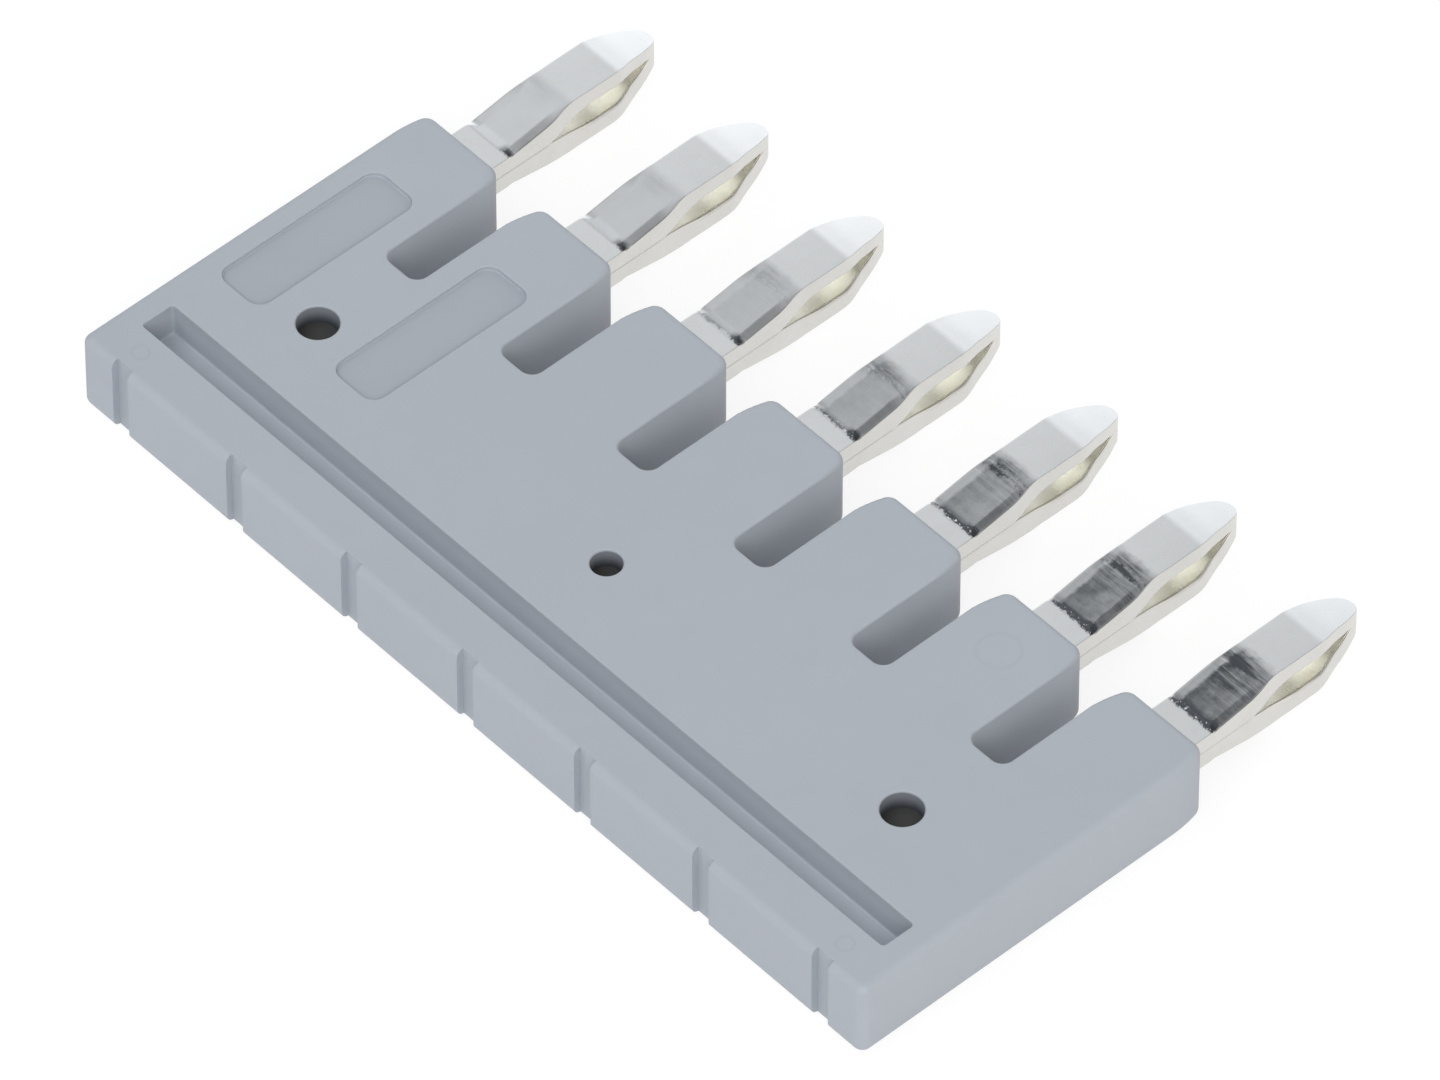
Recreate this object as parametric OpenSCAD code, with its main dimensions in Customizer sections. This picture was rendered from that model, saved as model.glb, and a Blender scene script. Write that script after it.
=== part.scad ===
// Insulated comb jumper for a row of terminal blocks: two stamped spring
// combs lie back to back in one moulded bar, and each tooth of the bar
// lets out one bulged prong.
// X runs along the row, Y from the back face to the prong tips, Z up.
// The origin is under the middle of the whole part, on its resting face.

/* [Row] */
// Number of poles, each a tooth with one prong
poles = 7; // [4:1:12]
// Distance from one prong to the next
pitch = 6.2; // [5.6:0.1:8.2]

/* [Housing] */
// Thickness of the moulded bar
body_t = 3.5; // [3:0.05:5]
// Depth of the moulded bar, back face to tooth fronts
body_d = 16.55; // [15.5:0.05:20]
// Width of a tooth
tooth_w = 4.35; // [3.6:0.05:4.8]
// Length of the slots between the teeth
slot_l = 5.9; // [4:0.1:6.6]
// Corner radius at the inner end of a slot
slot_r = 0.5; // [0.2:0.05:0.8]
// Radius of the upright corners at the back
corner_r = 0.4; // [0.2:0.05:1]
// Length over which a tooth narrows to its front
lead_l = 1.6; // [0.8:0.1:2.4]
// Amount by which each side of a tooth narrows
lead_in = 0.25; // [0.1:0.05:0.5]
// Size of the sloping upright corners at a tooth front
nose_c = 0.2; // [0.1:0.05:0.4]
// Radius of the long edges of the bar and the teeth
edge_r = 0.35; // [0.1:0.05:0.5]

/* [Marker groove] */
// Distance from the back face to the groove
groove_y = 2.0; // [1.3:0.05:2.4]
// Width of the groove
groove_w = 1.47; // [0.8:0.01:1.8]
// Depth of the groove below the top face
groove_t = 1.5; // [0.6:0.05:2]
// Wall between an end of the groove and the end face
groove_end = 1.1; // [0.6:0.05:3]

/* [Back notches] */
// Width of the notch at each pole
notch_w = 0.85; // [0.4:0.05:1.6]
// Depth of the notch
notch_d = 0.3; // [0.1:0.05:0.6]

/* [Marking panels] */
// Number of teeth with a sunk marking panel, from the left
panels = 2; // [0:1:4]
// Width of a panel
panel_w = 2.35; // [1.4:0.05:3]
// Length of a panel
panel_l = 7.7; // [4:0.1:9]
// Distance from the back face to a panel
panel_y = 5.6; // [4.5:0.05:6.5]
// Corner radius of a panel
panel_r = 0.6; // [0.1:0.05:0.7]
// Depth of a panel below the top face
panel_t = 0.18; // [0.05:0.01:0.3]

/* [Support holes] */
// Diameter of the two outer holes
hole_d = 1.6; // [0.8:0.05:2.4]
// Diameter of the middle hole
mid_hole_d = 1.2; // [0.6:0.05:2]
// Distance from the back face to the holes
hole_y = 6.75; // [5.6:0.05:7.6]

/* [Spring combs] */
// Thickness of the sheet that each comb is stamped from
leaf_t = 0.75; // [0.5:0.05:0.85]
// Height of the plane between the combs over the middle of the bar
comb_rise = 0.14; // [-0.2:0.02:0.2]
// Width of a prong where it leaves its tooth
neck_w = 2.28; // [1.6:0.02:2.6]
// Plastic between the combs and the marker groove
back_wall = 0.9; // [0.5:0.05:1.5]
// Plastic between the combs and the slots
front_wall = 1.1; // [0.5:0.05:1.5]
// Plastic between the combs and an end face
end_wall = 1.0; // [0.6:0.05:1.6]
// Gap left by the plastic around the combs
fit_gap = 0.02; // [0:0.01:0.05]

/* [Prongs] */
// Length of a prong outside its tooth
prong_l = 9.15; // [8.4:0.05:11]
// Straight length of the neck
neck_l = 1.15; // [0.6:0.05:1.6]
// Length of the steep start of the ramp
kick_l = 0.4; // [0.2:0.05:0.8]
// Rise of the steep start of the ramp
kick_rise = 0.1; // [0.02:0.01:0.2]
// Distance from the tooth to the start of the crown
crown_from = 4.2; // [3.6:0.05:4.6]
// Distance from the tooth to the end of the crown
crown_to = 6.65; // [6:0.05:7.2]
// Thickness over both leaves at the crown
crown_t = 2.56; // [2.2:0.02:3]
// Width of the crown
crown_w = 2.0; // [1.6:0.05:2.4]
// Width at the waist between the ramp and the crown
waist_w = 1.95; // [1.4:0.05:2]
// Radius of the waist
waist_r = 2.4; // [0.8:0.1:3]
// Radius of the tip in plan
tip_r = 0.45; // [0.2:0.05:0.6]
// Thickness over both leaves at the tip
tip_t = 1.04; // [0.6:0.02:1.4]
// Height of the gap between the leaves under the crown
gap_t = 1.1; // [0.4:0.05:1.3]
// Distance from the tooth to the point where the leaves part
gap_from = 3.2; // [2.4:0.05:3.9]
// Distance along which the gap opens to its full height
gap_run = 1.8; // [0.8:0.1:2.4]
// Length of the closed tip, where the leaves meet again
tip_shut = 0.5; // [0.2:0.05:1]
// Width of the coined edge on each side of the ramp
coin_w = 0.32; // [0.1:0.02:0.5]
// Drop of the coined edge towards the side of the prong
coin_t = 0.1; // [0.02:0.01:0.2]

/* [Hidden] */
$fn = 64;
// Overlap for cuts that run out of a solid
cut = 1;

row_l = (poles - 1) * pitch;
body_l = row_l + tooth_w;
slot_w = pitch - tooth_w;
// Y of the back face, the tooth fronts and the inner ends of the slots
back_y = -(body_d + prong_l) / 2;
front_y = back_y + body_d;
slot_y = front_y - slot_l;
// Depth of the bar behind the slots
bar_d = body_d - slot_l;
slot_corner = min(slot_r, slot_w / 2);
// Radius of the curve along which a tooth narrows
lead_r = (lead_l * lead_l + lead_in * lead_in) / (2 * lead_in);
// Plane between the two combs
comb_z = body_t / 2 + comb_rise;
// The bar of each comb
bus_from = back_y + groove_y + groove_w + back_wall;
bus_to = slot_y - front_wall;
bus_l = body_l - 2 * end_wall;
// Centres of the support holes along the row
hole_x = (poles - 2) * pitch / 2;
// Radius of the sides of the tip, tangent to the crown and to the nose of the tip
nose_run = prong_l - crown_to - tip_r;
side_r = (pow(crown_w / 2, 2) + pow(nose_run, 2) - pow(tip_r, 2)) / (crown_w - 2 * tip_r);
// Slope of the ramp and of its coined edges
ramp_from = neck_l + kick_l;
ramp_z = leaf_t + kick_rise;
ramp_angle = atan2(crown_t / 2 - ramp_z, crown_from - ramp_from);
ramp_run = (crown_from - ramp_from) / cos(ramp_angle);
coin_angle = atan2(coin_t, coin_w);

function pole_x(i) = i * pitch - row_l / 2;

// A rectangle centred in X that starts at Y = 0, with four round corners
module round_panel(w, l, r) {
    square_w = w - 2 * r;
    square_l = l - 2 * r;
    translate([-w / 2, r]) square([w, square_l]);
    translate([-square_w / 2, 0]) square([square_w, l]);
    for (x = [-square_w / 2, square_w / 2], y = [r, l - r]) {
        translate([x, y]) circle(r);
    }
}

// The plan of one tooth from the slot end to its front, which lies on Y = 0:
// straight sides, then two arcs, then two small sloping corners
module tooth_plan() {
    arc_x = tooth_w / 2 - lead_r;
    nose_x = arc_x + sqrt(lead_r * lead_r - pow(lead_l - nose_c, 2));
    translate([-tooth_w / 2, -slot_l - cut]) square([tooth_w, slot_l + cut - lead_l]);
    intersection() {
        translate([-tooth_w / 2, -lead_l]) square([tooth_w, lead_l - nose_c]);
        translate([arc_x, -lead_l]) circle(lead_r);
        translate([-arc_x, -lead_l]) circle(lead_r);
    }
    polygon([[-nose_x, -nose_c], [nose_x, -nose_c], [nose_x - nose_c, 0], [nose_c - nose_x, 0]]);
}

// The plan of the bar behind the slots, with round back corners
module bar_plan() {
    translate([-body_l / 2, back_y + corner_r]) square([body_l, bar_d - corner_r]);
    translate([-body_l / 2 + corner_r, back_y]) square([body_l - 2 * corner_r, bar_d]);
    for (side = [-1, 1]) {
        translate([side * (body_l / 2 - corner_r), back_y + corner_r]) circle(corner_r);
    }
}

// The fillets in the two corners at the inner end of one slot
module slot_fillets() {
    difference() {
        translate([-slot_w / 2, 0]) square([slot_w, slot_corner]);
        for (side = [-1, 1]) {
            translate([side * (slot_w / 2 - slot_corner), slot_corner]) circle(slot_corner);
        }
        translate([-slot_w / 2 + slot_corner, 0]) square([slot_w - 2 * slot_corner, slot_corner]);
    }
}

// A long block along X with round edges, from the back face to the depth d
module round_along_x(d) {
    translate([-body_l / 2 - cut, back_y + d / 2, 0])
        rotate([90, 0, 90])
        linear_extrude(body_l + 2 * cut) round_panel(d, body_t, edge_r);
}

// A long block along Y with round edges and the width w
module round_along_y(w) {
    translate([0, front_y + cut, 0])
        rotate([90, 0, 0])
        linear_extrude(body_d + 2 * cut) round_panel(w, body_t, edge_r);
}

// The bar with round edges at the back, at the ends and at the slots
module bar() {
    intersection() {
        linear_extrude(body_t) bar_plan();
        round_along_x(bar_d);
        round_along_y(body_l);
    }
}

// The tooth of pole i, with round edges along its sides and across its front
module tooth(i) {
    intersection() {
        translate([pole_x(i), front_y, 0]) linear_extrude(body_t) tooth_plan();
        translate([pole_x(i), 0, 0]) round_along_y(tooth_w);
        round_along_x(body_d);
    }
}

// The whole comb-shaped block: bar, teeth and the fillets in the slots
module body_block() {
    bar();
    for (i = [0 : poles - 1]) {
        tooth(i);
    }
    for (i = [0 : poles - 2]) {
        translate([pole_x(i) + pitch / 2, slot_y, edge_r])
            linear_extrude(body_t - 2 * edge_r) slot_fillets();
    }
}

// The upright notches in the back face, one at each pole
module back_notches() {
    for (i = [0 : poles - 1]) {
        translate([pole_x(i) - notch_w / 2, back_y - cut, -cut])
            cube([notch_w, cut + notch_d, body_t + 2 * cut]);
    }
}

// The space that the two combs fill inside the bar
module comb_space() {
    space_t = 2 * (leaf_t + fit_gap);
    translate([-bus_l / 2 - fit_gap, bus_from - fit_gap, comb_z - space_t / 2])
        cube([bus_l + 2 * fit_gap, bus_to - bus_from + 2 * fit_gap, space_t]);
    for (i = [0 : poles - 1]) {
        translate([pole_x(i) - neck_w / 2 - fit_gap, bus_to - cut, comb_z - space_t / 2])
            cube([neck_w + 2 * fit_gap, front_y - bus_to + 2 * cut, space_t]);
    }
}

// Holes left by the pins that hold the combs while the bar is moulded,
// from both faces down to the metal
module support_holes() {
    for (x = [-hole_x, 0, hole_x]) {
        d = x == 0 ? mid_hole_d : hole_d;
        translate([x, back_y + hole_y, comb_z]) cylinder(h = body_t, d = d);
        translate([x, back_y + hole_y, -cut]) cylinder(h = comb_z + cut, d = d);
    }
}

// One moulding: bar, teeth, groove, notches, panels and holes
module housing() {
    color([0.66, 0.68, 0.71])
    difference() {
        body_block();
        back_notches();
        comb_space();
        support_holes();
        translate([-body_l / 2 + groove_end, back_y + groove_y, body_t - groove_t])
            cube([body_l - 2 * groove_end, groove_w, groove_t + cut]);
        for (i = [0 : 1 : panels - 1]) {
            translate([pole_x(i), back_y + panel_y, body_t - panel_t])
                linear_extrude(panel_t + cut) round_panel(panel_w, panel_l, panel_r);
        }
    }
}

// The plan of one prong, with Y = 0 on the tooth front:
// neck, hollow waist, crown and a tip of two arcs with a round nose
module prong_plan() {
    shank_l = front_y - bus_to + cut;
    arc_x = crown_w / 2 - side_r;
    nose_y = prong_l - tip_r;
    touch_y = crown_to + nose_run * side_r / (side_r - tip_r);
    difference() {
        union() {
            translate([-neck_w / 2, -shank_l]) square([neck_w, shank_l + crown_from]);
            translate([-crown_w / 2, crown_from]) square([crown_w, crown_to - crown_from]);
        }
        for (side = [-1, 1]) {
            translate([side * (waist_w / 2 + waist_r), crown_from]) circle(waist_r);
        }
    }
    intersection() {
        translate([-crown_w / 2, crown_to]) square([crown_w, touch_y - crown_to]);
        translate([arc_x, crown_to]) circle(side_r);
        translate([-arc_x, crown_to]) circle(side_r);
    }
    translate([0, nose_y]) circle(tip_r);
}

// The side view of one leaf as distance from the tooth and height over the
// plane between the combs: flat shank, two-stage ramp, crown and falling tip
module leaf_side() {
    shank_l = front_y - bus_to + cut;
    polygon([
        [-shank_l, 0],
        [gap_from, 0],
        [gap_from + gap_run, gap_t / 2],
        [crown_to, gap_t / 2],
        [prong_l - tip_shut, 0],
        [prong_l, 0],
        [prong_l, tip_t / 2],
        [crown_to, crown_t / 2],
        [crown_from, crown_t / 2],
        [ramp_from, ramp_z],
        [neck_l, leaf_t],
        [-shank_l, leaf_t]
    ]);
}

// The two sloping cuts that coin the long edges of the ramp
module coined_edges() {
    for (side = [-1, 1]) {
        translate([side * (neck_w / 2 - coin_w), ramp_from, ramp_z])
            rotate([ramp_angle, 0, 0])
            rotate([0, side * coin_angle, 0])
            translate([side > 0 ? 0 : -cut, 0, 0])
            cube([cut, ramp_run, cut]);
    }
}

// One leaf of one prong, lying on Z = 0 with the tooth front at Y = 0
module leaf() {
    difference() {
        intersection() {
            rotate([90, 0, 90]) translate([0, 0, -neck_w]) linear_extrude(2 * neck_w) leaf_side();
            linear_extrude(crown_t) prong_plan();
        }
        coined_edges();
    }
}

// One stamped comb: a flat bar with a bulged leaf at each pole
module comb() {
    translate([-bus_l / 2, bus_from, 0]) cube([bus_l, bus_to - bus_from, leaf_t]);
    for (i = [0 : poles - 1]) {
        translate([pole_x(i), front_y, 0]) leaf();
    }
}

module upper_comb() {
    color([0.82, 0.83, 0.82])
    translate([0, 0, comb_z]) comb();
}

module lower_comb() {
    color([0.78, 0.79, 0.77])
    translate([0, 0, comb_z]) mirror([0, 0, 1]) comb();
}

housing();
upper_comb();
lower_comb();
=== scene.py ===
import math
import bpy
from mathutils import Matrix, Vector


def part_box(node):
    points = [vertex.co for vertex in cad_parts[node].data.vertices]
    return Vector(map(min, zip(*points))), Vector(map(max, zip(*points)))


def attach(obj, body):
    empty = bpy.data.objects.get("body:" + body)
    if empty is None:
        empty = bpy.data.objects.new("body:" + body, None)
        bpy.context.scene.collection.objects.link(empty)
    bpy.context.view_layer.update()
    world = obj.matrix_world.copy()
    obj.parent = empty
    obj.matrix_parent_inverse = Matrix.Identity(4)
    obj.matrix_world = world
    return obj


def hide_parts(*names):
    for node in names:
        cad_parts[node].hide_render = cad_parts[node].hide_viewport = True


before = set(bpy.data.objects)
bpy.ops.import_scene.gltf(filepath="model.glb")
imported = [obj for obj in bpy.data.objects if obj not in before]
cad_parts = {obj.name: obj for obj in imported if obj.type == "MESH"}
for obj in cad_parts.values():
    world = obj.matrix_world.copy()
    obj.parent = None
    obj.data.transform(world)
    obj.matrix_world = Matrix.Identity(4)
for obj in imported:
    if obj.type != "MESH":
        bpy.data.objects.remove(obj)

from types import SimpleNamespace

import bmesh
import bpy
import numpy as np
from mathutils import Matrix
from mathutils.geometry import delaunay_2d_cdt

bl_info = {
    "name": "Terminal Jumper",
    "version": (1, 0, 0),
    "blender": (4, 5, 0),
    "location": "3D View > Sidebar > Jumper",
    "description": "Builds a moulded comb jumper with bulged spring prongs, its finishes and a white studio",
    "category": "Add Mesh",
}

# One millimetre in metres, and sizes from the frame in millimetres
MM = 0.001
BODY_LO, BODY_HI = (np.array(corner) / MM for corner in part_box("housing"))
COMB_LO, COMB_HI = (np.array(corner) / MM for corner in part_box("upper_comb"))
PRONG_L = float(COMB_HI[1] - BODY_HI[1])


def length(name, description, default):
    """A length property; the default is given in millimetres and stored in metres."""
    return bpy.props.FloatProperty(
        name=name, description=description, default=default * MM, min=0.0, unit="LENGTH",
        subtype="DISTANCE", precision=5)


def level(name, description, default):
    """A light level property, where 1 is white."""
    return bpy.props.FloatProperty(name=name, description=description, default=default, min=0.0)


def angle(name, description, default):
    """An angle property; the default is given in degrees and stored in radians."""
    return bpy.props.FloatProperty(
        name=name, description=description, default=math.radians(default), subtype="ANGLE")


def shade(name, description, default):
    """A colour property in linear light."""
    return bpy.props.FloatVectorProperty(
        name=name, description=description, default=(*default, 1.0), size=4, min=0.0, max=1.0,
        subtype="COLOR")


class JumperHousingSettings(bpy.types.PropertyGroup):
    """Sizes of the moulded bar."""

    poles: bpy.props.IntProperty(name="Poles", description="Number of teeth", default=7, min=2)
    pitch: length("Pitch", "Distance from one tooth to the next", 6.2)
    tooth_w: length("Tooth width", "Width of a tooth", 4.35)
    slot_l: length("Slot length", "Length of the slots between the teeth", 5.9)
    slot_r: length("Slot radius", "Corner radius at the inner end of a slot", 0.5)
    corner_r: length("Corner radius", "Radius of the upright corners at the back", 0.42)
    lead_l: length("Lead length", "Length over which a tooth narrows to its front", 1.6)
    lead_in: length("Lead inset", "Amount by which each side of a tooth narrows", 0.25)
    nose_r: length("Nose radius", "Radius of the upright corners at a tooth front", 0.52)
    edge_r: length("Edge radius", "Radius of the long outer edges", 0.35)
    slot_edge: length("Slot edge radius", "Radius of the edges along the slots", 0.12)
    notch_w: length("Notch width", "Width of the notches in the back face", 0.85)
    notch_d: length("Notch depth", "Depth of the notches in the back face", 0.3)
    groove_y: length("Groove offset", "Distance from the back face to the marker groove", 2.0)
    groove_w: length("Groove width", "Width of the marker groove", 1.47)
    groove_t: length("Groove depth", "Depth of the marker groove", 1.5)
    groove_end: length("Groove end wall", "Wall between the groove and an end face", 1.1)
    groove_r: length("Groove radius", "Radius of the upright corners of the groove", 0.16)
    groove_rim: length("Groove rim", "Radius of the groove's upper edge", 0.06)
    groove_root: length("Groove root", "Radius at the groove's floor", 0.1)
    panel_y: length("Panel offset", "Distance from the back face to the marking panels", 5.6)
    panel_w: length("Panel width", "Width of a marking panel", 2.35)
    panel_l: length("Panel length", "Length of a marking panel", 7.7)
    panel_r: length("Panel radius", "Corner radius of a marking panel", 0.6)
    panel_t: length("Panel depth", "Depth of a marking panel", 0.18)
    panel_rim: length("Panel rim", "Radius of a panel's upper edge", 0.05)
    panel_root: length("Panel root", "Radius at a panel's floor", 0.06)
    hole_y: length("Hole offset", "Distance from the back face to the pin holes", 6.75)
    hole_d: length("Hole diameter", "Diameter of the outer pin holes", 1.6)
    mid_hole_d: length("Middle hole diameter", "Diameter of the middle pin hole", 1.2)
    hole_floor: length("Hole floor", "Distance from the plane between the combs to a pin hole's floor", 0.6)
    hole_rim: length("Hole rim", "Radius of a pin hole's outer edge", 0.09)
    hole_root: length("Hole root", "Radius at a pin hole's floor", 0.05)
    panels: bpy.props.IntProperty(name="Panels", description="Number of marking panels", default=2, min=0)


class JumperCombSettings(bpy.types.PropertyGroup):
    """Sizes of the two stamped combs."""

    leaf_t: length("Sheet", "Thickness of the stamped sheet", 0.75)
    plane_z: length("Plane height", "Height of the plane between the combs", COMB_LO[2])
    neck_w: length("Neck width", "Width of a prong at its tooth", 2.28)
    neck_l: length("Neck length", "Straight length of the neck", 1.15)
    kick_l: length("Kick length", "Length of the steep start of the ramp", 0.4)
    kick_rise: length("Kick rise", "Rise of the steep start of the ramp", 0.1)
    crown_from: length("Crown start", "Distance from the tooth to the start of the crown", 4.2)
    crown_to: length("Crown end", "Distance from the tooth to the end of the crown", 6.65)
    crown_t: length("Crown thickness", "Thickness over both leaves at the crown", 2.56)
    crown_w: length("Crown width", "Width of the crown", 2.0)
    crown_bow: length("Crown bow", "Drop of the crown from its middle to its edges", 0.004)
    waist_w: length("Waist width", "Width between the ramp and the crown", 1.95)
    waist_l: length("Waist run", "Length over which a prong narrows to its waist", 0.9)
    tip_r: length("Tip radius", "Radius of the tip in plan", 0.58)
    tip_t: length("Tip thickness", "Thickness over both leaves at the tip", 1.04)
    gap_t: length("Gap height", "Height of the gap under the crown", 1.1)
    gap_from: length("Gap start", "Distance from the tooth to the point where the leaves part", 3.2)
    gap_run: length("Gap run", "Distance along which the gap opens", 1.8)
    gap_r: length("Gap edge radius", "Radius of the edges of the gap", 0.13)
    seam_r: length("Seam edge radius", "Radius of the inner edges where the leaves touch", 0.05)
    tip_shut: length("Closed tip", "Length of the tip where the leaves meet again", 0.33)
    tip_lean: length("Tip lean", "Offset of the tip to the left", 0.08)
    tip_lift: length("Tip lift", "Rise of the gap and the upper leaf beyond the crown", 0.08)
    coin_left: length("Left coined width", "Width of the coined left edge of the ramp", 0.44)
    coin_right: length("Right coined width", "Width of the coined right edge of the ramp", 0.34)
    coin_t: length("Coined drop", "Drop of the coined edges of the ramp", 0.1)
    break_w: length("Broken edge width", "Width of the outer edges where they aren't coined", 0.016)
    break_t: length("Broken edge drop", "Drop of the outer edges where they aren't coined", 0.014)
    back_wall: length("Back wall", "Plastic between the combs and the groove", 0.9)
    front_wall: length("Front wall", "Plastic between the combs and the slots", 1.1)
    end_wall: length("End wall", "Plastic between the combs and an end face", 1.0)


class JumperFinishSettings(bpy.types.PropertyGroup):
    """Colours of the plastic and the metal."""

    plastic_deep: shade("Plastic, deep", "Deeper tone of the plastic", (0.39, 0.421, 0.463))
    plastic_pale: shade("Plastic, pale", "Paler tone of the plastic", (0.45, 0.479, 0.523))
    # Painted shade: the near black that the plastic turns towards deep in a pin hole
    hole_shade: shade("Pin hole", "Tone of the plastic deep in a pin hole", (0.026, 0.03, 0.042))
    tin_dull: shade("Tin, dull", "Duller tone of the plating", (0.725, 0.734, 0.737))
    # The brighter plating tone also serves as a painted highlight along the tips
    tin_bright: shade("Tin, bright", "Brighter tone of the plating", (0.79, 0.8, 0.802))
    # The two tones of a darkened ramp: partly rubbed metal, partly a painted dark reflection
    wear_dark: shade("Wear, dark", "Darker tone of a worn ramp", (0.03, 0.034, 0.04))
    wear_pale: shade("Wear, pale", "Paler tone of a worn ramp", (0.16, 0.168, 0.18))
    burr: shade("Burr", "Tone of the burrs at the start of a ramp", (0.93, 0.94, 0.95))
    edge_dull: shade("Cut edge, dull", "Duller tone of the cut edges", (0.65, 0.642, 0.612))
    edge_pale: shade("Cut edge, pale", "Paler tone of the cut edges", (0.72, 0.712, 0.685))
    # Painted shade and highlight on the brass inside the gap: shaded where the gap opens, lit under the end
    # of the crown
    brass_shade: shade("Brass, deep", "Tone of the brass where the gap opens", (0.73, 0.725, 0.665))
    brass_highlight: shade("Brass, pale", "Tone of the brass under the end of the crown", (0.93, 0.916, 0.85))
    # Painted shade: the metal inside the plastic, seen only at the floors of the pin holes, is made dark
    bar: shade("Bar", "Tone of the metal inside the plastic", (0.076, 0.078, 0.072))


class JumperStageSettings(bpy.types.PropertyGroup):
    """The camera, the floor and the light of the studio."""

    lens: bpy.props.FloatProperty(
        name="Lens", description="Focal length in millimetres", default=441.4, min=1.0,
        subtype="DISTANCE_CAMERA")
    camera: bpy.props.FloatVectorProperty(
        name="Camera", description="Place of the camera", default=(0.30865, -0.28088, 0.4746),
        subtype="TRANSLATION", unit="LENGTH", precision=5)
    azimuth: angle("Azimuth", "Direction of the camera round the part", 47.764)
    elevation: angle("Elevation", "Height of the camera over the horizon", 48.671)
    floor: shade("Floor", "Colour of the floor", (0.87, 0.866, 0.858))
    even: level("Even light", "Level of the light from all round", 0.06)
    horizon: level("Horizon", "Level of the pale walls all round", 0.65)
    key: level("Key", "Level of the softbox over the camera", 4.3)
    left: level("Left", "Level of the high softbox on the left", 2.2)
    right: level("Right", "Level of the low softbox on the right", 1.2)
    backdrop: level("Backdrop", "Level of the bright sweep behind the part", 1.55)
    overhead: level("Overhead", "Level of the weak panel over the sweep", 0.56)


def sizes(settings):
    """The lengths of a settings group in millimetres, and its whole numbers, by name."""
    values = {name: getattr(settings, name) for name in settings.__annotations__}
    return SimpleNamespace(**{k: v / MM if isinstance(v, float) else v for k, v in values.items()})


# Surfaces

def pole_places(bar):
    """The middles of the teeth along X, evenly spaced round 0."""
    return (np.arange(bar.poles) - (bar.poles - 1) / 2) * bar.pitch


def arc(centre, radius, start, end, count):
    """Points centre + radius (cos a, sin a) with a from start to end in degrees, and the unit vectors."""
    a = np.radians(np.linspace(start, end, count))
    ray = np.stack([np.cos(a), np.sin(a)], 1)
    return np.asarray(centre) + radius * ray, ray


def joined(*arcs):
    """Arcs one after the other as one path, with their unit vectors."""
    return [np.concatenate(part) for part in zip(*arcs)]


def supported(points, *carried, gap=0.05):
    """Adds two columns near the ends of each straight run of a closed path, to keep shading on its rounds.

    Values that the points carry go along with them.
    """
    step = np.roll(points, -1, 0) - points
    run = np.linalg.norm(step, axis=1)
    t = np.where(run > 4 * gap, gap / np.maximum(run, 1e-9), 0.0)
    keep = np.stack([t >= 0, t > 0, t > 0], 1).ravel()
    step = t[:, None] * step
    grown = [np.stack([points, points + step, np.roll(points, -1, 0) - step], 1)]
    grown += [np.stack([value, value, np.roll(value, -1, 0)], 1) for value in carried]
    return [value.reshape(-1, *value.shape[2:])[keep] for value in grown]


def quads(rows, columns, first=0, flip=False):
    """Faces of a grid of rows x columns vertices that is closed over its rows."""
    here = np.arange(rows)[:, None] * columns + np.arange(columns - 1)[None, :]
    there = np.roll(here, -1, 0)
    faces = np.stack([here, there, there + 1, here + 1], -1).reshape(-1, 4)
    return (faces[:, ::-1] if flip else faces) + first


def edge_profile(radius, top, lip=0.04, count=9):
    """Insets and heights, for each radius, from the top over a round, a wall and a round to the bottom."""
    a = np.radians(np.linspace(0, 90, count))
    r = radius[:, None]
    inset = np.concatenate([r + lip, r * (1 - np.sin(a)), 0 * r], 1)
    drop = np.concatenate([0 * r, r * (1 - np.cos(a)), r + lip], 1)
    return np.concatenate([inset, inset[:, ::-1]], 1), np.concatenate([top - drop, drop[:, ::-1]], 1)


def sunk_profile(depth, rim, root, lip=0.03, count=6):
    """(outset, drop) from the rim of a recess over a round edge and a wall to a round at its floor."""
    a = np.radians(np.linspace(0, 90, count))
    over = np.stack([rim * (1 - np.sin(a)), rim * (1 - np.cos(a))], 1)
    wall = [[0, rim + lip], [0, depth - root - lip]]
    under = np.stack([-root * (1 - np.cos(a)), depth - root * (1 - np.sin(a))], 1)
    return np.concatenate([[[rim + lip, 0]], over, wall, under, [[-root - lip, depth]]])


def round_rectangle(x, y, w, l, r, count=8):
    """A closed path round a rectangle that is centred in x and starts at y, with outward unit vectors."""
    x_lo, x_hi, y_lo, y_hi = x - w / 2 + r, x + w / 2 - r, y + r, y + l - r
    corners = (((x_hi, y_lo), -90), ((x_hi, y_hi), 0), ((x_lo, y_hi), 90), ((x_lo, y_lo), 180))
    return supported(*joined(*(arc(centre, r, a, a + 90, count) for centre, a in corners)))


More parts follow.
